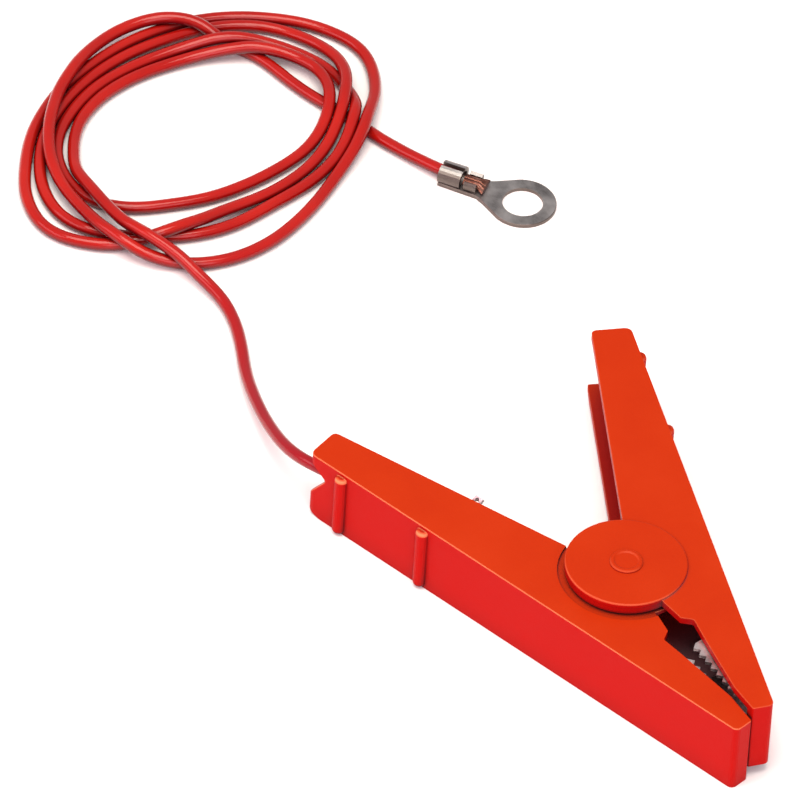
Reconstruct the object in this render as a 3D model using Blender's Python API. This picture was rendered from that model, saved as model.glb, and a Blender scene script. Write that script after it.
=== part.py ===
"""Earth-lead crocodile clamp: two plastic channel halves on a pivot, metal jaw liners, a torsion
spring, and a thin single-core lead that lies in a loose coil and ends in a ring terminal."""

import math

import bmesh
import bpy
import numpy as np
from mathutils import Matrix, Vector

MM = 0.001

# Channel mouldings, in mm. The jaws point along +X and the mirror line is Y = 0.
HALF_HEIGHT = 16.0
WALL = 1.5
STEP = 2.3
TIP_OUTER = (47.4, 4.6)
TIP_INNER = (46.3, 0.3)
HANDLE_OUTER = (-57.4, 36.8)
HANDLE_INNER = (-60.4, 29.3)
CABLE_TIP_LONGER = 0.8
CABLE_HANDLE_LONGER = 1.2
INNER_NEAR_PIVOT = (-11.3, 6.1)
DISC_R = 12.1
DISC_RELIEF = 0.5
RECESS_R = 13.5
RECESS_DEPTH = 0.45
OUTER_ROUND = 0.9
SLOT_START_Y = 0.7
SEAT_NOTCH = ((18.0, 1.4), (19.7, 3.4), (24.8, 2.5))
JAW_CLOSES = (39.5, 0.3)
RIB_X = (-50.5, -30.0)
RIB_R = 1.4
RIB_STANDS = 1.4
NOTCH_DEPTH = 4.2
NOTCH_Z = (5.2, 10.9, 14.2)
TOE_ROUND = (4.2, 2.4)

# Pivot and spring
PIN_R = 2.0
PIN_CLEARANCE = 0.08
HEAD_R = 3.3
SINK_DEPTH = 0.8
BUSH_R = 4.2
SPRING_WIRE = 1.6
SPRING_R = 5.6
SPRING_TURNS = 3
SPRING_LEG_X = -33.0

# Jaw liners
SHEET = 0.7
FIT_GAP = 0.25
TOOTH_PITCH = 2.1
TOOTH_TIP_Y = 0.1
TOOTH_ROOT_Y = 1.15
LINER_START = 24.0
LINER_END = 43.4
STRIP_LOW = 7.6
STRIP_HIGH = 12.6
LUG_X = (-32.9, -31.1)
LUG_STANDS = 1.8
LUG_HOLE_R = 0.5

# Lead
CORD_D = 2.6
COIL_CENTRE = (-160.5, 0.1)
COIL_TURN = 56.0

# Ring terminal
EYE_CENTRE = (-115.0, 47.9)
EYE_R = 4.2
RING_R = 6.9
TERMINAL_ANGLE = 35.5
TERMINAL_SHEET = 0.8
SHOULDER = (-7.4, 3.5)
NECK = (-9.2, 2.6)
CRIMP_WIDER = 1.26
COVER_CRIMP = (-17.9, -13.1)
CORE_CRIMP = (-12.3, -9.6)
STRANDS = ((-12.8, 1.38, 0.85, 1.9), (-9.5, 1.38, 0.85, 1.9), (-8.9, 1.8, 0.72, 1.8),
           (-8.1, 2.2, 0.6, 1.6))


def clear():
    for obj in list(bpy.data.objects):
        bpy.data.objects.remove(obj, do_unlink=True)


def material(name, colour, metallic, roughness):
    mat = bpy.data.materials.get(name)
    if mat:
        return mat
    mat = bpy.data.materials.new(name)
    mat.use_nodes = True
    shader = mat.node_tree.nodes["Principled BSDF"]
    shader.inputs["Base Color"].default_value = (*colour, 1.0)
    shader.inputs["Metallic"].default_value = metallic
    shader.inputs["Roughness"].default_value = roughness
    return mat


def add_object(name, bm, look, hidden=False):
    """Turns a bmesh in mm into a named object in metres."""
    bm.normal_update()
    bmesh.ops.recalc_face_normals(bm, faces=bm.faces)
    bm.transform(Matrix.Scale(MM, 4))
    mesh = bpy.data.meshes.new(name)
    bm.to_mesh(mesh)
    bm.free()
    obj = bpy.data.objects.new(name, mesh)
    bpy.context.scene.collection.objects.link(obj)
    if hidden:
        obj.hide_render = True
        obj.display_type = "WIRE"
    else:
        mesh.materials.append(look)
    return obj


def smooth(obj, angle=35.0):
    obj.data.shade_smooth()
    obj.data.set_sharp_from_angle(angle=math.radians(angle))


def combine(obj, other, operation):
    mod = obj.modifiers.new(operation.lower() + "_" + other.name, "BOOLEAN")
    mod.operation = operation
    mod.solver = "EXACT"
    mod.object = other
    other.hide_render = True
    other.display_type = "WIRE"


def bevel_rim(bm, level, size, wanted=None, segments=2):
    """Rounds the rim at a level, or the stretches of it whose middle is wanted."""
    rim = []
    for edge in bm.edges:
        if any(abs(v.co.z - level) > 1e-6 for v in edge.verts) or edge.calc_length() < 1e-4:
            continue
        middle = (edge.verts[0].co + edge.verts[1].co) / 2
        if len(edge.link_faces) == 2 and abs(edge.calc_face_angle()) > 0.5:
            if wanted is None or wanted(middle):
                rim.append(edge)
    bmesh.ops.bevel(bm, geom=rim, offset=size, segments=segments, profile=0.5,
                    affect="EDGES", clamp_overlap=True)


def prism(points, low, high, round_low=0.0, round_high=0.0, segments=2):
    """An upright prism on a plan outline, with its rims rounded where asked."""
    bm = bmesh.new()
    verts = [bm.verts.new((x, y, low)) for x, y in points]
    base = bm.faces.new(verts)
    grown = bmesh.ops.extrude_face_region(bm, geom=[base])
    top = [v for v in grown["geom"] if isinstance(v, bmesh.types.BMVert)]
    bmesh.ops.translate(bm, verts=top, vec=(0, 0, high - low))
    bm.normal_update()
    for level, size in ((low, round_low), (high, round_high)):
        if size > 0:
            bevel_rim(bm, level, size, None, segments)
    return bm


def cylinder(radius, low, high, x=0.0, y=0.0, steps=64):
    ring = [(x + radius * math.cos(a), y + radius * math.sin(a))
            for a in np.linspace(0, 2 * math.pi, steps, endpoint=False)]
    return prism(ring, low, high)


def lathe(profile, x=0.0, y=0.0, steps=48):
    """Turns a closed (radius, height) profile about an upright axis."""
    bm = bmesh.new()
    verts = [bm.verts.new((r, 0.0, z)) for r, z in profile]
    edges = [bm.edges.new((verts[i], verts[(i + 1) % len(verts)])) for i in range(len(verts))]
    bmesh.ops.spin(bm, geom=verts + edges, cent=(0, 0, 0), axis=(0, 0, 1), angle=2 * math.pi,
                   steps=steps, use_merge=True)
    bmesh.ops.remove_doubles(bm, verts=bm.verts, dist=1e-5)
    bmesh.ops.dissolve_degenerate(bm, dist=1e-5, edges=bm.edges)
    bmesh.ops.translate(bm, verts=bm.verts, vec=(x, y, 0))
    return bm


def arc(cx, cy, radius, start, end, steps):
    angles = np.radians(np.linspace(start, end, steps + 1))
    return [(cx + radius * math.cos(a), cy + radius * math.sin(a)) for a in angles]


def rounded(points, corner_radii, steps=4):
    """Replaces each corner that has a radius by an arc."""
    out = []
    count = len(points)
    for i, (point, radius) in enumerate(zip(points, corner_radii)):
        if radius <= 0:
            out.append(point)
            continue
        here = Vector(point)
        before = (Vector(points[i - 1]) - here).normalized()
        after = (Vector(points[(i + 1) % count]) - here).normalized()
        half = before.angle(after) / 2
        reach = radius / math.tan(half)
        centre = here + (before + after).normalized() * (radius / math.sin(half))
        first = here + before * reach - centre
        turn = first.angle_signed(here + after * reach - centre)
        for k in range(steps + 1):
            step = Matrix.Rotation(-turn * k / steps, 2) @ first
            out.append(tuple(centre + step))
    return out


def outer_line_y(x, inset=0.0):
    """Distance from the mirror line to the outer edge at x, moved inwards by inset."""
    dx = TIP_OUTER[0] - HANDLE_OUTER[0]
    dy = TIP_OUTER[1] - HANDLE_OUTER[1]
    slope = dy / dx
    return HANDLE_OUTER[1] + (x - HANDLE_OUTER[0]) * slope - inset * math.hypot(dx, dy) / dx


def mirrored(points, side):
    """Puts an outline drawn for Y > 0 on the wanted side, keeping its winding."""
    if side > 0:
        return list(points)
    return [(x, -y) for x, y in reversed(points)]


def moved(point, towards, distance):
    """A point moved away from another one by a distance."""
    here = Vector(point)
    return tuple(here + (here - Vector(towards)).normalized() * distance)


def half_corners(side):
    """Tip and handle corners of one half for Y > 0: the cable half is slightly longer."""
    tip = CABLE_TIP_LONGER if side < 0 else 0.0
    handle = CABLE_HANDLE_LONGER if side < 0 else 0.0
    return (moved(TIP_INNER, JAW_CLOSES, tip), moved(TIP_OUTER, HANDLE_OUTER, tip),
            moved(HANDLE_OUTER, TIP_OUTER, handle), moved(HANDLE_INNER, INNER_NEAR_PIVOT, handle))


def inner_line_y(x):
    """Distance from the mirror line to the inner edge of a handle at x."""
    hx, hy = HANDLE_INNER
    return hy + (x - hx) * (INNER_NEAR_PIVOT[1] - hy) / (INNER_NEAR_PIVOT[0] - hx)


def half_outline(side):
    """Plan outline of one half for Y > 0: blade, pivot disc, slot, seat notch and jaw edge."""
    slope = (inner_line_y(1.0) - inner_line_y(0.0))
    b = inner_line_y(0.0)
    # where the inner handle edge meets the pivot disc
    qa, qb, qc = 1 + slope * slope, 2 * slope * b, b * b - DISC_R ** 2
    x_meet = (-qb - math.sqrt(qb * qb - 4 * qa * qc)) / (2 * qa)
    meet = math.degrees(math.atan2(slope * x_meet + b, x_meet))
    leave = 360.0 + math.degrees(math.asin(SLOT_START_Y / DISC_R))
    corners = rounded([*half_corners(side), (x_meet, slope * x_meet + b)], [0.4, 1.2, 1.4, 1.0, 0.0])[:-1]
    outline = corners + arc(0, 0, DISC_R, meet, leave, 40)
    return outline + notch_points()


def notch_points():
    """The slot's end, the seat notch with soft corners, and where the jaw edge closes."""
    start = (DISC_R, SLOT_START_Y)
    loop = rounded([start, *SEAT_NOTCH, JAW_CLOSES], [0.0, 0.35, 0.6, 0.5, 0.0], 3)
    return loop[1:]


def cavity_outline():
    """Plan of the hollow between the two plates of one half, open towards the mirror line."""
    inner = [(LINER_END + 1.0, -30.0), (LINER_END + 1.0, outer_line_y(LINER_END + 1.0, WALL)),
             (-70.0, outer_line_y(-70.0, WALL)), (-70.0, -30.0)]
    return inner


def rib(name, x, side, low):
    """An upright half-round finger ridge with soft ends, sunk in the outer wall."""
    y = outer_line_y(x, RIB_R - RIB_STANDS) * side
    top = low + HALF_HEIGHT - 1.0
    bottom = low + 0.5
    soft = 0.7
    profile = [(0.0, bottom), (RIB_R - soft, bottom), (RIB_R - 0.2, bottom + 0.2), (RIB_R, bottom + soft),
               (RIB_R, top - soft), (RIB_R - 0.2, top - 0.2), (RIB_R - soft, top), (0.0, top)]
    return add_object(name, lathe(profile, x, y, 20), None, hidden=True)


def end_cutter(name, side, outline, run):
    """Cuts a (depth, height) outline into the handle end, from outside the outer wall inwards."""
    inner, outer = half_corners(side)[3], half_corners(side)[2]
    slant = (Vector(outer) - Vector(inner)).normalized()
    inward = Vector((slant.y, -slant.x))
    start = Vector(outer) + slant * 4
    bm = bmesh.new()
    verts = []
    for depth, z in outline:
        p = start + inward * depth
        verts.append(bm.verts.new((p.x, p.y * side, z)))
    face = bm.faces.new(verts)
    grown = bmesh.ops.extrude_face_region(bm, geom=[face])
    far = [v for v in grown["geom"] if isinstance(v, bmesh.types.BMVert)]
    shift = slant * -run
    bmesh.ops.translate(bm, verts=far, vec=(shift.x, shift.y * side, 0))
    return add_object(name, bm, None, hidden=True)


def end_notch(name, side, low):
    """A sideways V that opens the handle end of the outer wall for the lead."""
    bottom, middle, top = (low + z for z in NOTCH_Z)
    outline = ((-3.0, top), (0.0, top), (NOTCH_DEPTH - 0.3, middle + 0.5), (NOTCH_DEPTH, middle),
               (NOTCH_DEPTH - 0.3, middle - 0.5), (0.0, bottom), (-3.0, bottom))
    return end_cutter(name, side, outline, 9.0)


def toe_cut(name, side, low):
    """Rounds the lower corner of the handle end."""
    length, height = TOE_ROUND
    curve = []
    for a in np.radians(np.linspace(90, 0, 7)):
        curve.append((length * (1 - math.sin(a)), low + height * (1 - math.cos(a))))
    outline = curve[::-1] + [(-3.0, low + height), (-3.0, low - 1.0), (length, low - 1.0)]
    return end_cutter(name, side, outline, 16.0)


def half_shell(name, side, low):
    """One moulding: a channel that opens towards the other half, with ears round the pivot."""
    red = material(name, (0.72, 0.055, 0.03), 0.0, 0.42)
    high = low + HALF_HEIGHT
    bm = prism(mirrored(half_outline(side), side), low, high)

    def outside(p):
        ends = half_corners(side)
        return (abs(p.y) > outer_line_y(p.x, 2.0) or p.x > ends[0][0] - 0.05
                or p.x < ends[3][0] + 0.9)

    for level in (low, high):
        bevel_rim(bm, level, OUTER_ROUND, outside)
    body = add_object(name, bm, red)
    hollow = add_object("cut_hollow_" + name,
                        prism(mirrored(cavity_outline(), side), low + WALL, high - WALL),
                        None, hidden=True)
    combine(body, hollow, "DIFFERENCE")
    for i, x in enumerate(RIB_X):
        combine(body, rib("add_rib_%d_%s" % (i, name), x, side, low), "UNION")
    combine(body, end_notch("cut_notch_" + name, side, low), "DIFFERENCE")
    combine(body, toe_cut("cut_toe_" + name, side, low), "DIFFERENCE")
    if side > 0:
        relief = prism(arc(0, 0, DISC_R + 0.08, 0, 360 - 360 / 64, 63), high - 0.4,
                       high + DISC_RELIEF, 0.0, 0.3)
        combine(body, add_object("add_relief_" + name, relief, None, hidden=True), "UNION")
        boss = cylinder(DISC_R - 0.15, HALF_HEIGHT + 0.3, high - 0.6)
        combine(body, add_object("add_boss_" + name, boss, None, hidden=True), "UNION")
    else:
        shallow = cylinder(RECESS_R, high - RECESS_DEPTH, high + 2, steps=72)
        combine(body, add_object("cut_recess_" + name, shallow, None, hidden=True), "DIFFERENCE")
        boss = cylinder(DISC_R - 0.15, 0.6, STEP - 0.3)
        combine(body, add_object("add_boss_" + name, boss, None, hidden=True), "UNION")
        sink = cylinder(HEAD_R + 0.3, low - 1, low + SINK_DEPTH, steps=48)
        combine(body, add_object("cut_sink_" + name, sink, None, hidden=True), "DIFFERENCE")
    hole = cylinder(PIN_R + PIN_CLEARANCE, low - 1, high + 2, steps=48)
    combine(body, add_object("cut_pin_" + name, hole, None, hidden=True), "DIFFERENCE")
    smooth(body)
    return body


def liner_edge(side):
    """The toothed free edge of a liner flange for Y > 0: the two halves' teeth interleave."""
    x = LINER_START + (0.0 if side > 0 else TOOTH_PITCH / 2)
    edge = [(LINER_START - 0.3, TOOTH_ROOT_Y + 1.6)]
    while x + TOOTH_PITCH < LINER_END:
        edge.append((x, TOOTH_ROOT_Y))
        edge.append((x + TOOTH_PITCH / 2, TOOTH_TIP_Y))
        x += TOOTH_PITCH
    edge.append((x, TOOTH_ROOT_Y))
    return edge


def liner_outline(side):
    """Plan of a liner for Y > 0 between its toothed edge and the outer wall."""
    stand = WALL + FIT_GAP
    end = LINER_END + 0.6
    edge = liner_edge(side)
    front = edge[0][0]
    return edge + [(end, edge[-1][1]), (end, outer_line_y(end, stand)), (front, outer_line_y(front, stand))]


def liner(name, side, low):
    """A folded sheet-metal jaw lining with teeth on both of its free edges."""
    metal = material(name, (0.78, 0.72, 0.68), 1.0, 0.36)
    bottom = low + WALL + FIT_GAP
    top = low + HALF_HEIGHT - WALL - FIT_GAP
    body = add_object(name, prism(mirrored(liner_outline(side), side), bottom, top), metal)
    web = WALL + FIT_GAP + SHEET
    inside = [(LINER_START - 3, -6.0), (LINER_END + 3, -6.0),
              (LINER_END + 3, outer_line_y(LINER_END + 3, web)),
              (LINER_START - 3, outer_line_y(LINER_START - 3, web))]
    fold = add_object("cut_fold_" + name,
                      prism(mirrored(inside, side), bottom + SHEET, top - SHEET), None, hidden=True)
    combine(body, fold, "DIFFERENCE")
    return body


def contact_strip(name, low):
    """The strip that runs from the cable half's liner to the lead, with a tab across the channel."""
    gap = WALL + FIT_GAP + 0.06
    front = LINER_START + 3.0
    rear = -38.0
    near = [(front, outer_line_y(front, gap)), (rear, outer_line_y(rear, gap)),
            (rear, outer_line_y(rear, gap + SHEET)), (front, outer_line_y(front, gap + SHEET))]
    strip = prism(mirrored(near, -1), low + STRIP_LOW, low + STRIP_HIGH)
    return add_object("add_strip_" + name, strip, None, hidden=True)


def contact_tab(name, low):
    """A flat arm from the strip to the inner edge of the channel, turned up into a small lug."""
    x0, x1 = LUG_X
    middle = (x0 + x1) / 2
    high = low + HALF_HEIGHT - WALL - FIT_GAP
    root = -outer_line_y(middle, WALL + FIT_GAP + 0.11)
    edge = -inner_line_y(middle)
    strip = STRIP_HIGH + low - 0.6
    profile = [(root, strip), (root + SHEET, strip), (root + SHEET + 0.4, high - SHEET),
               (edge + 0.5, high - SHEET), (edge + LUG_STANDS + 0.4, high + 1.0),
               (edge + LUG_STANDS, high + 1.6), (edge + 0.3, high), (root + 0.5, high)]
    bm = bmesh.new()
    verts = [bm.verts.new((x0, y, z)) for y, z in profile]
    face = bm.faces.new(verts)
    grown = bmesh.ops.extrude_face_region(bm, geom=[face])
    far = [v for v in grown["geom"] if isinstance(v, bmesh.types.BMVert)]
    bmesh.ops.translate(bm, verts=far, vec=(x1 - x0, 0, 0))
    slant = outer_line_y(x0) - outer_line_y(x0 + 1.0)
    for v in bm.verts:
        v.co.y += (v.co.x - middle) * slant
    return add_object("add_tab_" + name, bm, None, hidden=True)


def lug_hole(name, low):
    middle = (LUG_X[0] + LUG_X[1]) / 2
    y = -inner_line_y(middle) + LUG_STANDS * 0.62
    high = low + HALF_HEIGHT
    return add_object("cut_lug_" + name, cylinder(LUG_HOLE_R, high - 4, high + 2, middle, y, 20),
                      None, hidden=True)


def pivot_pin():
    """A moulded pin with a low dished head above and a flat one sunk in the underside."""
    top = STEP + HALF_HEIGHT + DISC_RELIEF + 0.05
    profile = [(0, 0), (HEAD_R - 0.2, 0), (HEAD_R, 0.2), (HEAD_R, SINK_DEPTH - 0.1),
               (PIN_R, SINK_DEPTH - 0.1), (PIN_R, top), (HEAD_R, top), (HEAD_R, top + 0.2),
               (HEAD_R - 0.25, top + 0.45), (HEAD_R - 0.7, top + 0.5), (HEAD_R - 1.1, top + 0.3),
               (0, top + 0.32)]
    red = material("pivot_pin", (0.72, 0.055, 0.03), 0.0, 0.4)
    obj = add_object("pivot_pin", lathe(profile), red)
    smooth(obj)
    return obj


def spring_bush():
    low = STEP + WALL + 0.3
    high = HALF_HEIGHT - WALL - 0.3
    inner = PIN_R + 0.25
    profile = [(inner, low), (BUSH_R - 0.3, low), (BUSH_R, low + 0.3), (BUSH_R, high - 0.3),
               (BUSH_R - 0.3, high), (inner, high)]
    nylon = material("spring_bush", (0.75, 0.74, 0.7), 0.0, 0.5)
    obj = add_object("spring_bush", lathe(profile), nylon)
    smooth(obj)
    return obj


def spring_points():
    """Centreline of the torsion spring: a leg on each handle wall and a close coil between."""
    stand = WALL + 0.35 + SPRING_WIRE / 2
    leg_y = outer_line_y(SPRING_LEG_X, stand)
    reach = math.hypot(SPRING_LEG_X, leg_y)
    lean = math.acos(SPRING_R / reach)
    phi = math.atan2(leg_y, SPRING_LEG_X)
    start = -phi + lean
    end = phi - lean + 2 * math.pi * SPRING_TURNS
    low = STEP + WALL + 0.35 + SPRING_WIRE / 2
    high = HALF_HEIGHT - WALL - 0.35 - SPRING_WIRE / 2
    points = [Vector((SPRING_LEG_X, -leg_y, low))]
    steps = int(SPRING_TURNS * 20)
    for k in range(steps + 1):
        t = k / steps
        a = start + (end - start) * t
        points.append(Vector((SPRING_R * math.cos(a), SPRING_R * math.sin(a), low + (high - low) * t)))
    points.append(Vector((SPRING_LEG_X, leg_y, high)))
    return points


def wire(name, points, diameter, look, resolution=3):
    """A round solid along a polyline."""
    data = bpy.data.curves.new(name, "CURVE")
    data.dimensions = "3D"
    spline = data.splines.new("POLY")
    spline.points.add(len(points) - 1)
    for target, p in zip(spline.points, points):
        target.co = (p[0] * MM, p[1] * MM, p[2] * MM, 1.0)
    data.bevel_depth = diameter / 2 * MM
    data.bevel_resolution = resolution
    data.use_fill_caps = True
    data.materials.append(look)
    obj = bpy.data.objects.new(name, data)
    bpy.context.scene.collection.objects.link(obj)
    return obj


def spaced(points, step):
    """A smooth curve through hand-placed points, read at even steps."""
    pts = [Vector(p) for p in points]
    pts = [pts[0] * 2 - pts[1]] + pts + [pts[-1] * 2 - pts[-2]]
    fine = []
    for i in range(1, len(pts) - 2):
        a, b, c, d = pts[i - 1:i + 3]
        for k in range(24):
            t = k / 24
            fine.append(0.5 * (2 * b + (c - a) * t + (2 * a - 5 * b + 4 * c - d) * t * t
                               + (3 * b - a - 3 * c + d) * t ** 3))
    fine.append(pts[-2])
    length = sum((q - p).length for p, q in zip(fine, fine[1:]))
    count = max(4, round(length / step))
    out = [fine[0]]
    travelled = 0.0
    for p, q in zip(fine, fine[1:]):
        run = (q - p).length
        while len(out) < count and travelled + run >= len(out) * length / count:
            out.append(p.lerp(q, (len(out) * length / count - travelled) / run))
        travelled += run
    out.append(fine[-1])
    return out


def torsion_spring():
    steel = material("torsion_spring", (0.45, 0.44, 0.43), 1.0, 0.35)
    return wire("torsion_spring", spring_points(), SPRING_WIRE, steel, 2)


def c_section(outer, inner, opening, start, end):
    """A crimp barrel along X, centred on the axis, open upwards by the given angle."""
    half = math.radians(opening / 2)
    angles = np.linspace(math.pi / 2 + half, math.pi * 2.5 - half, 25)
    loop = [(outer * math.cos(a), outer * math.sin(a)) for a in angles]
    loop += [(inner * math.cos(a), inner * math.sin(a)) for a in angles[::-1]]
    bm = bmesh.new()
    verts = [bm.verts.new((start, y, z)) for y, z in loop]
    face = bm.faces.new(verts)
    grown = bmesh.ops.extrude_face_region(bm, geom=[face])
    far = [v for v in grown["geom"] if isinstance(v, bmesh.types.BMVert)]
    bmesh.ops.translate(bm, verts=far, vec=(end - start, 0, 0))
    return bm


def strip_frame(x, inset, z):
    """X along the cable half's outer wall towards the handle end, Z into the channel."""
    dx = HANDLE_OUTER[0] - TIP_OUTER[0]
    dy = -(HANDLE_OUTER[1] - TIP_OUTER[1])
    along = Vector((dx, dy, 0)).normalized()
    inward = Vector((along.y, -along.x, 0))
    side = inward.cross(along)
    origin = Vector((x, -outer_line_y(x, inset), z))
    return Matrix.Translation(origin) @ Matrix((along, side, inward)).transposed().to_4x4()


def cable_liner():
    body = liner("cable_jaw_liner", -1, 0.0)
    combine(body, contact_strip("cable_jaw_liner", 0.0), "UNION")
    combine(body, contact_tab("cable_jaw_liner", 0.0), "UNION")
    combine(body, lug_hole("cable_jaw_liner", 0.0), "DIFFERENCE")
    crimp = c_section(1.75, 1.0, 40.0, 0.0, 5.0)
    frame = strip_frame(-31.6, WALL + FIT_GAP + SHEET + 1.5, (STRIP_LOW + STRIP_HIGH) / 2)
    crimp.transform(frame)
    combine(body, add_object("add_crimp_cable_jaw_liner", crimp, None, hidden=True), "UNION")
    smooth(body)
    return body


def free_liner():
    body = liner("free_jaw_liner", 1, STEP)
    smooth(body)
    return body


def lead_core():
    """The bare conductor in the crimp at the end of the contact strip."""
    frame = strip_frame(-31.6, WALL + FIT_GAP + SHEET + 1.5, (STRIP_LOW + STRIP_HIGH) / 2)
    copper = material("lead_core", (0.85, 0.42, 0.24), 1.0, 0.35)
    ends = [frame @ Vector((-1.0, 0, 0)), frame @ Vector((6.6, 0, 0))]
    return wire("lead_core", ends, 1.8, copper, 2)


# Route of the lead from the crimp in the handle to the coil, and from the coil to the terminal.
LEAD_ROUTE = [(-45.5, -26.9, 9.9), (-50.5, -29.8, 10.2), (-55.2, -32.7, 10.6), (-59.5, -35.3, 10.8),
              (-64.5, -36.4, 10.0), (-71.0, -36.0, 8.2), (-80.0, -34.0, 5.6), (-89.8, -31.1, 3.4),
              (-98.0, -28.0, 1.9), (-105.8, -24.4, 1.5), (-113.4, -21.8, 1.4), (-120.6, -20.6, 1.4),
              (-128.9, -20.4, 1.5)]
TAIL_ROUTE = [(-140.3, 33.3, 1.5), (-136.9, 34.2, 1.6), (-133.2, 35.4, 1.9)]


def cord_lead():
    red = material("cord_lead", (0.6, 0.06, 0.04), 0.0, 0.4)
    frame = strip_frame(-31.6, WALL + FIT_GAP + SHEET + 1.5, (STRIP_LOW + STRIP_HIGH) / 2)
    first = frame @ Vector((7.0, 0, 0))
    return wire("cord_lead", spaced([tuple(first)] + LEAD_ROUTE, 6.0), CORD_D, red, 2)


def cord_coil():
    """The coil's outer shape: a turned ring, slightly oval."""
    red = material("cord_coil", (0.6, 0.06, 0.04), 0.0, 0.4)
    inner, outer, high = 23.0, 37.7, 9.0
    profile = rounded([(inner, 0.02), (outer, 0.02), (outer, high), (inner, high)],
                      [3.4, 3.4, 3.4, 3.4], 4)
    bm = lathe(profile, steps=64)
    oval = Matrix.Diagonal((1.02, 0.98, 1.0, 1.0))
    place = Matrix.Translation((COIL_CENTRE[0], COIL_CENTRE[1], 0))
    bm.transform(place @ Matrix.Rotation(math.radians(COIL_TURN), 4, "Z") @ oval)
    obj = add_object("cord_coil", bm, red)
    smooth(obj)
    return obj


def terminal_frame():
    turn = Matrix.Rotation(math.radians(TERMINAL_ANGLE), 4, "Z")
    return Matrix.Translation((EYE_CENTRE[0], EYE_CENTRE[1], 0)) @ turn


def cord_tail():
    red = material("cord_tail", (0.6, 0.06, 0.04), 0.0, 0.4)
    frame = terminal_frame()
    last = [tuple(frame @ Vector((x, 0, 2.15))) for x in (-18.6, COVER_CRIMP[1] - 0.1)]
    return wire("cord_tail", spaced(TAIL_ROUTE + last, 3.0), CORD_D, red, 2)


def ring_terminal():
    """An uninsulated open-barrel ring terminal, flat on the table."""
    tin = material("ring_terminal", (0.62, 0.6, 0.55), 1.0, 0.4)
    frame = terminal_frame()
    plate = arc(0, 0, RING_R, -118, 118, 36)
    half = [SHOULDER, NECK, (COVER_CRIMP[0], NECK[1] - 0.3)]
    plate += half + [(x, -y) for x, y in half[::-1]]
    bm = prism(plate, 0.02, TERMINAL_SHEET, 0.0, 0.12, 1)
    bm.transform(frame)
    body = add_object("ring_terminal", bm, tin)
    eye = cylinder(EYE_R, -1, 3, steps=48)
    eye.transform(frame)
    combine(body, add_object("cut_eye", eye, None, hidden=True), "DIFFERENCE")
    for name, outer, inner, opening, (start, end) in (
            ("add_core_crimp", 1.85, 1.2, 110.0, CORE_CRIMP),
            ("add_cover_crimp", 2.12, 1.38, 24.0, COVER_CRIMP)):
        crimp = c_section(outer, inner, opening, start, end)
        flat = Matrix.Diagonal((1, CRIMP_WIDER, 1, 1))
        crimp.transform(frame @ Matrix.Translation((0, 0, outer + 0.04)) @ flat)
        combine(body, add_object(name, crimp, None, hidden=True), "UNION")
    smooth(body)
    return body


def terminal_strands():
    """The bared strands as one ribbed bundle, pressed flat and spreading towards its end."""
    copper = material("terminal_strands", (0.85, 0.42, 0.24), 1.0, 0.35)
    bm = bmesh.new()
    steps = 60
    rings = []
    for x, wide, high, middle in STRANDS:
        ring = []
        for k in range(steps):
            a = 2 * math.pi * k / steps
            rib_out = 1 + 0.07 * math.cos(12 * a)
            y, z = wide * rib_out * math.cos(a), high * rib_out * math.sin(a)
            ring.append(bm.verts.new((x, y, middle + z)))
        rings.append(ring)
    for near, far in zip(rings, rings[1:]):
        for k in range(steps):
            n = (k + 1) % steps
            bm.faces.new((near[k], near[n], far[n], far[k]))
    bm.faces.new(rings[0][::-1])
    bm.faces.new(rings[-1])
    bmesh.ops.recalc_face_normals(bm, faces=bm.faces)
    bm.transform(terminal_frame())
    obj = add_object("terminal_strands", bm, copper)
    smooth(obj, 50.0)
    return obj


def cord_grip():
    """A plastic block in the handle that the lead is threaded through."""
    nylon = material("cord_grip", (0.6, 0.06, 0.04), 0.0, 0.5)
    x0, x1 = -50.0, -44.5
    near = [(x1, outer_line_y(x1, WALL + 0.3)), (x0, outer_line_y(x0, WALL + 0.3)),
            (x0, inner_line_y(x0) + 0.8), (x1, inner_line_y(x1) + 0.8)]
    block = add_object("cord_grip", prism(mirrored(near, -1), WALL + 0.3, HALF_HEIGHT - WALL - 0.3),
                       nylon)
    path = [Vector(p) for p in LEAD_ROUTE[:2]]
    along = (path[1] - path[0]).normalized()
    bore = cylinder(CORD_D / 2 + 0.4, -14, 14, steps=24)
    spin = Vector((0, 0, 1)).rotation_difference(along).to_matrix().to_4x4()
    middle = path[0].lerp(path[1], 0.4)
    bore.transform(Matrix.Translation(middle) @ spin)
    combine(block, add_object("cut_lead_bore", bore, None, hidden=True), "DIFFERENCE")
    smooth(block)
    return block


def main():
    clear()
    half_shell("cable_half_shell", -1, 0.0)
    half_shell("free_half_shell", 1, STEP)
    pivot_pin()
    spring_bush()
    torsion_spring()
    cable_liner()
    free_liner()
    lead_core()
    cord_grip()
    cord_lead()
    cord_coil()
    cord_tail()
    ring_terminal()
    terminal_strands()


main()
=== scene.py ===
"""Looks for the earth-lead crocodile clamp: camera, lights, cord, metal and plastic finishes."""

import math

import bmesh
import bpy
import numpy as np
from mathutils import Matrix, Vector


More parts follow.
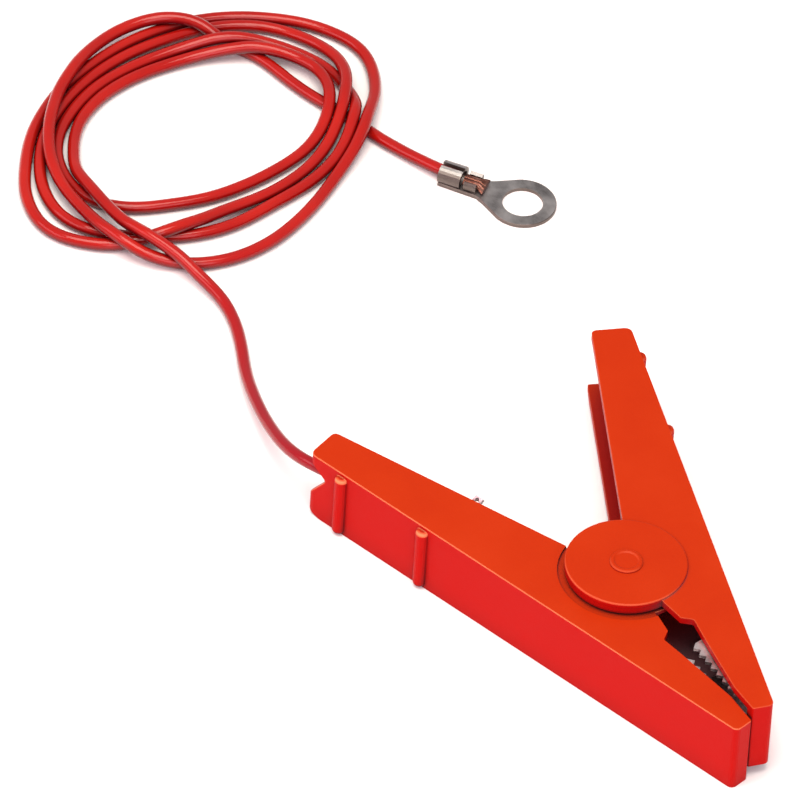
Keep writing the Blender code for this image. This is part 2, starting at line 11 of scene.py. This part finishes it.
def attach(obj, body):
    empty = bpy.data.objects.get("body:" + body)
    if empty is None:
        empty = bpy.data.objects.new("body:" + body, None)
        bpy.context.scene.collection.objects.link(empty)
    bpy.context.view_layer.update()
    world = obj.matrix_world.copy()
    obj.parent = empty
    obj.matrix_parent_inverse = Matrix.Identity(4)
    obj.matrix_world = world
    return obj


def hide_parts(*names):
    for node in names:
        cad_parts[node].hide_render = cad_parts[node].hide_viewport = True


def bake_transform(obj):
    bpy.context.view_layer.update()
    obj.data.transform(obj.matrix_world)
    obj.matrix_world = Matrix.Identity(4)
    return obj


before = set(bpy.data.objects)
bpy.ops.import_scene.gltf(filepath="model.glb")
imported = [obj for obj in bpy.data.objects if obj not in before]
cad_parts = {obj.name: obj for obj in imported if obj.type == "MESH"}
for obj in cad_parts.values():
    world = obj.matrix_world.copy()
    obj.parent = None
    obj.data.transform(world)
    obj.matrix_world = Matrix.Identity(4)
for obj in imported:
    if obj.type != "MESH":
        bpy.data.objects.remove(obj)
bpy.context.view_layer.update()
MM = 0.001

# ---------------------------------------------------------------- camera

AIM = Vector((-77.4, -4.05, 0.0)) * MM
AZIMUTH, ELEVATION, ROLL = 56.15, 43.23, 3.81
DISTANCE = 3.0


def make_camera():
    a, e = math.radians(AZIMUTH), math.radians(ELEVATION)
    out = Vector((math.sin(a) * math.cos(e), -math.cos(a) * math.cos(e), math.sin(e)))
    right = Vector((math.cos(a), math.sin(a), 0.0))
    up = out.cross(right)
    turn = Matrix((right, up, out)).transposed().to_4x4()
    data = bpy.data.cameras.new("camera")
    data.type = "PERSP"
    data.lens = 673.9
    data.sensor_width = 36.0
    data.clip_end = 20.0
    cam = bpy.data.objects.new("camera", data)
    cam.matrix_world = (Matrix.Translation(AIM + out * DISTANCE) @ turn
                        @ Matrix.Rotation(math.radians(ROLL), 4, "Z"))
    bpy.context.scene.collection.objects.link(cam)
    bpy.context.scene.camera = cam


make_camera()

# ---------------------------------------------------------------- node helpers


class Nodes:
    """A short way to build one material's nodes."""

    def __init__(self, name):
        self.mat = bpy.data.materials.new(name)
        self.mat.use_nodes = True
        self.tree = self.mat.node_tree
        self.shader = self.tree.nodes["Principled BSDF"]
        self.place = self.add("ShaderNodeTexCoord").outputs["Object"]

    def add(self, kind, **values):
        node = self.tree.nodes.new(kind)
        for key, value in values.items():
            setattr(node, key, value)
        return node

    def link(self, a, b):
        self.tree.links.new(a, b)

    def noise(self, scale, detail, rough, stretch=None, turn=0.0):
        node = self.add("ShaderNodeTexNoise")
        node.inputs["Scale"].default_value = scale
        node.inputs["Detail"].default_value = detail
        node.inputs["Roughness"].default_value = rough
        source = self.place
        if stretch:
            mapping = self.add("ShaderNodeMapping")
            mapping.inputs["Rotation"].default_value = (0, 0, turn)
            mapping.inputs["Scale"].default_value = stretch
            self.link(self.place, mapping.inputs["Vector"])
            source = mapping.outputs["Vector"]
        self.link(source, node.inputs["Vector"])
        return node.outputs["Fac"]

    def ramp(self, source, stops):
        node = self.add("ShaderNodeValToRGB")
        ramp = node.color_ramp
        while len(ramp.elements) < len(stops):
            ramp.elements.new(0.5)
        for element, (pos, colour) in zip(ramp.elements, stops):
            element.position = pos
            element.color = (*colour, 1.0)
        self.link(source, node.inputs["Fac"])
        return node.outputs["Color"]

    def spread(self, source, low, high, start=0.3, end=0.7):
        node = self.add("ShaderNodeMapRange")
        node.inputs["From Min"].default_value = start
        node.inputs["From Max"].default_value = end
        node.inputs["To Min"].default_value = low
        node.inputs["To Max"].default_value = high
        self.link(source, node.inputs["Value"])
        return node.outputs["Result"]

    def mix(self, factor, a, b):
        node = self.add("ShaderNodeMix", data_type="RGBA", blend_type="MIX")
        for socket, value in ((node.inputs[0], factor), (node.inputs[6], a), (node.inputs[7], b)):
            if isinstance(value, (int, float)):
                socket.default_value = value
            elif isinstance(value, tuple):
                socket.default_value = (*value, 1.0)
            else:
                self.link(value, socket)
        return node.outputs[2]

    def math(self, kind, a, b):
        node = self.add("ShaderNodeMath", operation=kind)
        for socket, value in zip(node.inputs, (a, b)):
            if isinstance(value, (int, float)):
                socket.default_value = value
            else:
                self.link(value, socket)
        return node.outputs[0]

    def axes(self, vector):
        """The x, y and z parts of a vector."""
        node = self.add("ShaderNodeSeparateXYZ")
        self.link(vector, node.inputs[0])
        return node.outputs

    def own_axes(self, direction):
        """The x, y and z parts of a surface direction, in the piece's own axes."""
        node = self.add("ShaderNodeVectorTransform", vector_type="NORMAL")
        node.convert_from = "WORLD"
        node.convert_to = "OBJECT"
        self.link(direction, node.inputs[0])
        return self.axes(node.outputs[0])

    def occlusion(self, distance, own_only=False):
        """How open a spot is, 1 in the open and 0 in a closed corner."""
        node = self.add("ShaderNodeAmbientOcclusion", samples=8, only_local=own_only)
        node.inputs["Distance"].default_value = distance
        return node.outputs["AO"]

    def bump(self, *layers):
        previous = None
        for height, distance, strength in layers:
            node = self.add("ShaderNodeBump")
            node.inputs["Strength"].default_value = strength
            node.inputs["Distance"].default_value = distance
            self.link(height, node.inputs["Height"])
            if previous:
                self.link(previous, node.inputs["Normal"])
            previous = node.outputs["Normal"]
        self.link(previous, self.shader.inputs["Normal"])

    def set(self, **values):
        for key, value in values.items():
            socket = self.shader.inputs[key.replace("_", " ")]
            if isinstance(value, (int, float)):
                socket.default_value = value
            elif isinstance(value, tuple):
                socket.default_value = (*value, 1.0)
            else:
                self.link(value, socket)
        return self.mat


# Colours and sizes of the red mouldings: the side colour is painted shade on upright faces, the hollow
# colours are painted shade inside a channel, and the width is that of a painted edge highlight.
RED_TONES = (0.43, 0.026, 0.003), (0.418, 0.024, 0.003), (0.445, 0.029, 0.004)
RED_SHADED_SIDE = (0.43, 0.004, 0.0025)
HANDLE_HOLLOW_SHADE = (0.27, 0.009, 0.008)
JAW_HOLLOW_SHADE = (0.16, 0.07, 0.08)
HIGHLIGHT_WIDTH = 0.00045


def painted_edge_highlight(n):
    """Mask of a painted highlight on the upper edges of the outer side, from the rounded normal's
    direction.
    """
    soft = n.add("ShaderNodeBevel", samples=6)
    soft.inputs["Radius"].default_value = HIGHLIGHT_WIDTH
    x, y, z = n.own_axes(soft.outputs[0])
    outward = n.math("SUBTRACT", n.math("MULTIPLY", x, 0.6), n.math("MULTIPLY", y, 0.8))
    band = n.math("MULTIPLY", n.spread(z, 0.0, 1.0, 0.15, 0.4), n.spread(z, 1.0, 0.0, 0.88, 0.98))
    return n.math("MULTIPLY", band, n.spread(outward, 0.0, 1.0, 0.05, 0.4))


def facing_up(n):
    """The piece's own upward part of the surface direction, 1 on a level top and 0 on a wall."""
    return n.own_axes(n.add("ShaderNodeNewGeometry").outputs["Normal"])[2]


def channel_shade_masks(n):
    """Mask of painted shade in the hollow of a channel, and mask of what lies forward of the pivot."""
    hollow_shade_mask = n.spread(n.occlusion(0.03, own_only=True), 1.0, 0.0, 0.5, 0.85)
    return hollow_shade_mask, n.spread(n.axes(n.place)[0], 0.0, 1.0, 0.006, 0.014)


def moulded_plastic(name, base, dark, light, painted_shade=(0.030, 0.014, 0.016), highlight_share=0.3, shaded_side=None):
    """Injection-moulded plastic: faint flow clouding, fine pebble, scuffs, painted shade in the corners
    and a painted highlight on the outer upper edges.

    A shaded-side colour, painted shade, tints the upright faces, and comes with painted shade in the
    hollow of a channel.
    """
    n = Nodes(name)
    cloud = n.noise(70.0, 3.0, 0.5)
    fine = n.noise(900.0, 4.0, 0.6)
    speck = n.noise(3200.0, 2.0, 0.5)
    scuff = n.noise(160.0, 5.0, 0.7, (1.0, 14.0, 6.0), 0.5)
    colour = n.ramp(cloud, [(0.3, dark), (0.5, base), (0.72, light)])
    colour = n.mix(n.spread(fine, 0.0, 0.22, 0.45, 0.75), colour, light)
    pale = tuple(min(1.0, c * 1.2 + 0.015) for c in light)
    colour = n.mix(n.spread(scuff, 0.0, 0.18, 0.62, 0.8), colour, pale)
    if shaded_side:
        # Painted shade: upright faces take the darker side colour.
        colour = n.mix(n.spread(facing_up(n), 1.0, 0.0, 0.25, 0.7), colour, shaded_side)
        # Painted shade in the hollow of a channel, greyer forward of the pivot.
        shaded_hollow, forward = channel_shade_masks(n)
        colour = n.mix(shaded_hollow, colour, n.mix(forward, HANDLE_HOLLOW_SHADE, JAW_HOLLOW_SHADE))
    # Painted highlight: a pale line along the outer upper edges, as strong as the highlight share.
    highlight_colour = (min(1.0, light[0] + 0.45), light[1] + 0.22, light[2] + 0.11)
    colour = n.mix(n.math("MULTIPLY", painted_edge_highlight(n), highlight_share), colour, highlight_colour)
    # Painted shade: darker in corners and creases, from the occlusion.
    colour = n.mix(n.spread(n.occlusion(0.013), 1.0, 0.0, 0.12, 0.58), colour, painted_shade)
    rough = n.math("ADD", n.spread(cloud, 0.34, 0.40), n.spread(scuff, 0.0, 0.14, 0.55, 0.8))
    n.bump((cloud, 0.0004, 0.08), (fine, 0.00008, 0.3), (speck, 0.00002, 0.3), (scuff, 0.00003, 0.25))
    return n.set(Base_Color=colour, Roughness=rough, Metallic=0.0, IOR=1.5, Specular_IOR_Level=0.05)


def soft_pvc(name):
    """Cord sheath: smooth soft PVC with faint dust, painted shade on the underside and between strands,
    and a darker end by the clamp.
    """
    n = Nodes(name)
    cloud = n.noise(70.0, 3.0, 0.5)
    fine = n.noise(1500.0, 3.0, 0.6)
    dust = n.noise(420.0, 6.0, 0.7)
    colour = n.ramp(cloud, [(0.3, (0.33, 0.004, 0.002)), (0.55, (0.38, 0.006, 0.003)),
                            (0.75, (0.43, 0.009, 0.004))])
    colour = n.mix(n.spread(dust, 0.0, 0.08, 0.60, 0.80), colour, (0.44, 0.04, 0.04))
    # Painted shade: darker on the underside.
    colour = n.mix(n.spread(facing_up(n), 1.0, 0.0, -0.25, 0.65), colour, (0.13, 0.001, 0.005))
    near_clamp = n.spread(n.axes(n.place)[0], 0.0, 0.85, -0.135, -0.085)
    colour = n.mix(near_clamp, colour, (0.27, 0.003, 0.010))
    # Painted shade: darker between strands, from the occlusion.
    colour = n.mix(n.spread(n.occlusion(0.003), 0.85, 0.0, 0.1, 0.8), colour, (0.09, 0.003, 0.004))
    rough = n.math("ADD", n.spread(cloud, 0.11, 0.15), n.spread(dust, 0.0, 0.08, 0.5, 0.8))
    n.bump((cloud, 0.0004, 0.15), (fine, 0.00003, 0.35))
    return n.set(Base_Color=colour, Roughness=rough, IOR=1.5, Specular_IOR_Level=0.34)


def worn_metal(name, dark, base, light, rough=(0.25, 0.45), scale=1.0, shaded_side=None):
    """Plated sheet metal: mottled plating, brushed grain, small dull stains, and painted shade on faces
    off the level.
    """
    n = Nodes(name)
    cloud = n.noise(180.0 * scale, 5.0, 0.6)
    fine = n.noise(2200.0 * scale, 4.0, 0.6)
    brush = n.noise(900.0 * scale, 3.0, 0.6, (1.0, 18.0, 1.0), 0.6)
    stain = n.noise(420.0 * scale, 6.0, 0.7)
    colour = n.ramp(cloud, [(0.28, dark), (0.5, base), (0.74, light)])
    colour = n.mix(n.spread(stain, 0.0, 0.45, 0.56, 0.74), colour, dark)
    colour = n.mix(n.spread(brush, 0.0, 0.3, 0.45, 0.75), colour, light)
    if shaded_side:
        # Painted shade: faces off the level take the darker side colour.
        colour = n.mix(n.spread(facing_up(n), 0.85, 0.0, 0.75, 0.98), colour, shaded_side)
    r = n.math("ADD", n.spread(cloud, rough[0], rough[1]), n.spread(stain, 0.0, 0.12, 0.5, 0.75))
    n.bump((cloud, 0.0003, 0.2), (brush, 0.00003, 0.5), (fine, 0.00002, 0.4))
    return n.set(Base_Color=colour, Roughness=r, Metallic=1.0)


# The three red finishes differ only in the strength of their painted edge highlight.
RED_CABLE = moulded_plastic("red_cable_half", *RED_TONES, highlight_share=0.9, shaded_side=RED_SHADED_SIDE)
RED_FREE = moulded_plastic("red_free_half", *RED_TONES, highlight_share=0.3, shaded_side=RED_SHADED_SIDE)
RED_PIN = moulded_plastic("red_pin", *RED_TONES, highlight_share=0.15, shaded_side=RED_SHADED_SIDE)
PVC = soft_pvc("red_sheath")
GRIP = moulded_plastic("grip_plastic", (0.29, 0.010, 0.007), (0.25, 0.008, 0.006), (0.33, 0.016, 0.012))
# The nylon's last colour is its painted shade in corners.
NYLON = moulded_plastic("natural_nylon", (0.50, 0.47, 0.40), (0.44, 0.41, 0.34), (0.56, 0.53, 0.47),
                        (0.05, 0.045, 0.04))
LINER = worn_metal("galvanised_liner", (0.30, 0.25, 0.25), (0.56, 0.49, 0.50), (0.78, 0.71, 0.72))
# The terminal's last colour is painted shade on its upright faces.
TINNED = worn_metal("tinned_terminal", (0.17, 0.152, 0.150), (0.36, 0.328, 0.325), (0.52, 0.485, 0.485),
                    (0.32, 0.46), shaded_side=(0.13, 0.105, 0.088))
STEEL = worn_metal("spring_steel", (0.22, 0.21, 0.20), (0.40, 0.39, 0.38), (0.58, 0.57, 0.56), (0.2, 0.35))
COPPER = worn_metal("bare_copper", (0.07, 0.020, 0.015), (0.20, 0.070, 0.048), (0.40, 0.21, 0.17),
                    (0.25, 0.4), 3.0)

FINISH = {
    "cable_half_shell": RED_CABLE, "free_half_shell": RED_FREE, "pivot_pin": RED_PIN, "spring_bush": NYLON,
    "cable_jaw_liner": LINER, "free_jaw_liner": LINER, "lead_core": COPPER, "cord_grip": GRIP,
    "ring_terminal": TINNED, "terminal_strands": COPPER, "torsion_spring": STEEL,
}
for node, finish in FINISH.items():
    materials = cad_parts[node].data.materials
    materials.clear()
    materials.append(finish)

# ---------------------------------------------------------------- cord

# Sizes in mm, like the routes, which are points of the cord's centreline.
CORD_D = 2.6
TABLE_Z = 1.32
PATH_STEP = 1.3
STRAND_GAP = 0.05
NEIGHBOURS = 8
SETTLE_ROUNDS = 420
# Before it sinks, each stretch starts so many levels up: the lead's end, the coil's start and its end.
LEVEL_RISE = 2.2
LEAD_LEVEL, FIRST_LEVEL, LAST_LEVEL = 7.0, 1.0, 6.4
LEAD_ROUTE = [(-38.3, -26.2, 10.1), (-45.5, -26.9, 9.9), (-50.5, -29.8, 10.2), (-55.2, -32.7, 10.6),
              (-59.5, -35.3, 10.8), (-64.5, -36.4, 10.0), (-71.0, -36.0, 8.2), (-80.0, -34.0, 5.6),
              (-89.8, -31.1, 3.4), (-98.0, -28.0, 1.9), (-105.8, -24.4, 1.5), (-113.4, -21.8, 1.4),
              (-119.6, -21.3, 1.5), (-125.0, -22.4, 3.2), (-130.4, -23.6, 5.0), (-137.2, -26.2, 5.2),
              (-144.6, -28.9, 4.6)]
# The lead's last points, which sink and shift with the coil.
LEAD_FREE = 6
# The coil: twelve radii a turn, clockwise seen from above, from where the lead joins it.
COIL_CENTRE = (-160.6, -1.6)
COIL_START = -79.0
COIL_ANGLE = 4 * 360 + 50
COIL_STEP = 15.0
TURN_STEP = 30.0
TURNS = [
    (28.7, 26.2, 25.1, 23.9, 24.9, 28.9, 32.7, 25.9, 18.2, 15.3, 15.9, 19.4),
    (27.7, 29.6, 27.7, 26.6, 27.8, 31.8, 35.7, 32.6, 26.2, 23.0, 25.6, 30.1),
    (36.1, 33.1, 29.9, 29.5, 32.3, 38.6, 38.4, 29.1, 22.8, 20.1, 21.6, 31.6),
    (40.9, 35.9, 32.4, 32.1, 35.8, 41.3, 45.0, 34.3, 28.9, 29.9, 34.6, 36.7),
    (32.4, 31.0, 30.8, 33.0),
]
# The last part turn, from the heights that it starts to sink from.
OVER_ROUTE = [
    (-185.6, -20.2, 16), (-188.3, -16.6, 16), (-191.5, -12.2, 16), (-194.6, -6.6, 16), (-196.7, 0.4, 16),
    (-196.1, 7.8, 16), (-192.8, 13.3, 14), (-188.9, 16.3, 11), (-184.7, 18.4, 7), (-181.3, 20.7, 4),
    (-177.6, 22.7, 2), (-173.4, 23.7, 1.32), (-168.7, 24.5, 1.32), (-164.1, 25.6, 1.32),
    (-159.8, 27.1, 1.32), (-155.5, 28.8, 1.32), (-150.7, 30.4, 1.35), (-145.2, 31.6, 1.4),
]
TAIL_ROUTE = [(-140.3, 33.3, 1.5), (-137.2, 34.5, 1.6), (-133.8, 35.8, 1.9), (-130.14, 37.1, 2.15),
              (-126.72, 39.54, 2.15)]


def between(a, b, c, d, t):
    """Catmull-Rom value a share t of the way from b to c."""
    return 0.5 * (2 * b + (c - a) * t + (2 * a - 5 * b + 4 * c - d) * t ** 2
                  + (3 * b - a - 3 * c + d) * t ** 3)


def curve_through(points, per):
    """A smooth curve through given points, with so many steps for each of them."""
    pts = np.array(points, float)
    pts = np.vstack([2 * pts[0] - pts[1], pts, 2 * pts[-1] - pts[-2]])
    out = []
    for i in range(1, len(pts) - 2):
        a, b, c, d = pts[i - 1:i + 3]
        for k in range(per):
            out.append(between(a, b, c, d, k / per))
    out.append(pts[-2])
    return np.array(out)


def even(points, step):
    """The same curve with its points evenly spaced."""
    seg = np.linalg.norm(np.diff(points, axis=0), axis=1)
    s = np.concatenate([[0], np.cumsum(seg)])
    count = int(round(s[-1] / step))
    t = np.linspace(0, s[-1], count + 1)
    return np.stack([np.interp(t, s, points[:, k]) for k in range(points.shape[1])], 1)


def coil_plan():
    """Plan points of the turns, from where the lead joins to the last left side."""
    radii = [r for turn in TURNS for r in turn]
    points = []
    for k in range(1, int(COIL_ANGLE / COIL_STEP) + 1):
        along = k * COIL_STEP / TURN_STEP
        i = int(along)
        r = between(radii[max(i - 1, 0)], radii[i], radii[i + 1], radii[i + 2], along - i)
        angle = math.radians(COIL_START - k * COIL_STEP)
        points.append((COIL_CENTRE[0] + r * math.cos(angle), COIL_CENTRE[1] + r * math.sin(angle)))
    return points


def settle(path, free, floor):
    """Lets the strands sink until they lie on the table and on each other, without crossing through."""
    p = path.copy()
    goal = path[:, :2].copy()
    moving = free[:, None].astype(float)
    clear = CORD_D + STRAND_GAP
    for k in range(SETTLE_ROUNDS):
        late = k / SETTLE_ROUNDS
        if k % 8 == 0:
            a, b = close_pairs(p, clear + 2.4)
        p[:, 2] -= 0.08 * free * (1 - late)
        shift = p[:, :2] - goal
        for _ in range(4):
            shift[1:-1] = 0.5 * shift[1:-1] + 0.25 * (shift[:-2] + shift[2:])
        p[:, :2] = np.where(free[:, None], goal + shift * 0.985, goal)
        for _ in range(2):
            flat = np.zeros(len(p))
            flat[1:-1] = (p[:-2, 2] + p[2:, 2]) / 2 - p[1:-1, 2]
            p[:, 2] += free * 0.45 * flat
        for _ in range(3):
            gap = p[a] - p[b]
            dist = np.sqrt((gap ** 2).sum(1)) + 1e-9
            push = np.maximum(clear - dist, 0.0)
            hit = push > 0
            if not hit.any():
                break
            move = gap[hit] * (0.5 * push[hit] / dist[hit])[:, None]
            total = np.zeros_like(p)
            touches = np.zeros(len(p))
            np.add.at(total, a[hit], move)
            np.add.at(total, b[hit], -move)
            np.add.at(touches, a[hit], 1)
            np.add.at(touches, b[hit], 1)
            total *= (1.4 / np.sqrt(np.maximum(touches, 1)))[:, None]
            total[:, 2] = widened(total[:, 2])
            p += moving * total
            p[:, 2] = np.maximum(p[:, 2], floor)
        p[~free] = path[~free]
    return p


def widened(lift):
    """Spreads each lift to the points beside it, so that the cord bends in a long low hump."""
    up = np.maximum(lift, 0.0)
    out = up.copy()
    for shift, share in ((1, 0.85), (2, 0.6), (3, 0.3)):
        out[shift:] = np.maximum(out[shift:], share * up[:-shift])
        out[:-shift] = np.maximum(out[:-shift], share * up[shift:])
    return out + np.minimum(lift, 0.0)


def close_pairs(p, reach):
    """Pairs of path points that are near each other but not neighbours along the cord."""
    found_a, found_b = [], []
    for i in range(len(p) - NEIGHBOURS):
        other = p[i + NEIGHBOURS:]
        near = np.nonzero(((other - p[i]) ** 2).sum(1) < reach * reach)[0]
        found_a.append(np.full(len(near), i))
        found_b.append(near + i + NEIGHBOURS)
    return np.concatenate(found_a), np.concatenate(found_b)


def cord_path():
    """The cord's centreline: the routes and the coil as one smooth curve, settled on the table."""
    lead = np.array(LEAD_ROUTE)
    coil = np.array([(x, y, TABLE_Z) for x, y in coil_plan()])
    over = np.array(OVER_ROUTE)
    tail = np.array(TAIL_ROUTE)
    route = np.vstack([lead, coil, over, tail])
    number = np.arange(len(route), dtype=float)
    fine = curve_through(np.column_stack([route, number]), 10)
    pts = even(fine, PATH_STEP)
    where = pts[:, 3]
    path = pts[:, :3].copy()
    n_lead = len(lead)
    n_coil = n_lead + len(coil)
    n_over = n_coil + len(over)
    for _ in range(8):
        path[1:-1, :2] = 0.5 * path[1:-1, :2] + 0.25 * (path[:-2, :2] + path[2:, :2])
    free = (where > n_lead - LEAD_FREE) & (where < n_over - 0.5)
    # Later turns start over earlier ones, and the lead's end over the first of them.
    level = np.interp(where, [0, n_lead + 0.5, n_lead + 3.0, n_coil], [0, 0, FIRST_LEVEL, LAST_LEVEL])
    level += np.interp(where, [n_lead - LEAD_FREE, n_lead - LEAD_FREE + 2.0, n_lead + 1.0, n_lead + 3.0],
                       [0, LEAD_LEVEL, LEAD_LEVEL, 0])
    high = np.where(where < n_coil, TABLE_Z + level * LEVEL_RISE, path[:, 2])
    path[:, 2] = np.where(free, high, path[:, 2])
    soft = path[:, 2].copy()
    for _ in range(6):
        soft[1:-1] = 0.5 * soft[1:-1] + 0.25 * (soft[:-2] + soft[2:])
    path[:, 2] = np.where(free, soft, path[:, 2])
    return settle(path, free, TABLE_Z)


def make_cord():
    path = cord_path()
    data = bpy.data.curves.new("lead_cord", "CURVE")
    data.dimensions = "3D"
    spline = data.splines.new("POLY")
    spline.points.add(len(path) - 1)
    for point, p in zip(spline.points, path):
        point.co = (p[0] * MM, p[1] * MM, p[2] * MM, 1.0)
    spline.use_smooth = True
    data.bevel_depth = CORD_D / 2 * MM
    data.bevel_resolution = 4
    data.use_fill_caps = True
    data.materials.append(PVC)
    obj = bpy.data.objects.new("lead_cord", data)
    bpy.context.scene.collection.objects.link(obj)
    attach(obj, "cable_half")
    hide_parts("cord_lead", "cord_coil", "cord_tail")


make_cord()

# ---------------------------------------------------------------- spring


def make_spring():
    """The spring's wire, wound from the cable half's leg to the free half's: a steel copy of the spring's
    mesh in its place.
    """
    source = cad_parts["torsion_spring"]
    mesh = source.data.copy()
    mesh.transform(source.matrix_world)
    obj = bpy.data.objects.new("spring_wire", mesh)
    bpy.context.scene.collection.objects.link(obj)
    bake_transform(obj)
    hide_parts("torsion_spring")
    mesh.materials.clear()
    mesh.materials.append(STEEL)


make_spring()

# ---------------------------------------------------------------- floor and light

FLOOR_DROP = 0.00005


def make_floor():
    """A plain white sheet just under the clamp."""
    n = Nodes("floor")
    cloud = n.noise(2.0, 3.0, 0.5)
    colour = n.ramp(cloud, [(0.3, (0.97, 0.93, 0.94)), (0.7, (0.98, 0.94, 0.95))])
    mat = n.set(Base_Color=colour, Roughness=0.9, Specular_IOR_Level=0.1)
    bm = bmesh.new()
    bmesh.ops.create_grid(bm, x_segments=1, y_segments=1, size=4.0)
    mesh = bpy.data.meshes.new("floor")
    bm.to_mesh(mesh)
    bm.free()
    mesh.materials.append(mat)
    obj = bpy.data.objects.new("floor", mesh)
    obj.location.z = -FLOOR_DROP
    bpy.context.scene.collection.objects.link(obj)


def area(name, offset, size, power, colour):
    """A square-on light at an offset from the point that the camera looks at."""
    data = bpy.data.lights.new(name, "AREA")
    data.shape = "RECTANGLE"
    data.size, data.size_y = size
    data.energy = power
    data.color = colour
    obj = bpy.data.objects.new(name, data)
    obj.location = AIM + Vector(offset)
    obj.rotation_euler = (AIM - obj.location).to_track_quat("-Z", "Y").to_euler()
    bpy.context.scene.collection.objects.link(obj)


def make_light():
    """High-key studio light: a broad one overhead, a low one on the left and one by the camera."""
    world = bpy.data.worlds.new("world")
    bpy.context.scene.world = world
    world.use_nodes = True
    sky = world.node_tree.nodes["Background"]
    sky.inputs["Color"].default_value = (1, 1, 1, 1)
    sky.inputs["Strength"].default_value = 0.55
    area("key", (0.12, -0.2, 1.15), (0.8, 0.8), 13.0, (1.0, 0.97, 0.86))
    area("front", (-0.28, -0.92, 0.66), (0.9, 0.5), 4.5, (1.0, 0.60, 0.66))
    area("fill", (0.95, -0.38, 0.60), (0.8, 0.8), 6.6, (1.0, 0.68, 0.74))


make_floor()
make_light()
bpy.context.scene.view_settings.view_transform = "Standard"
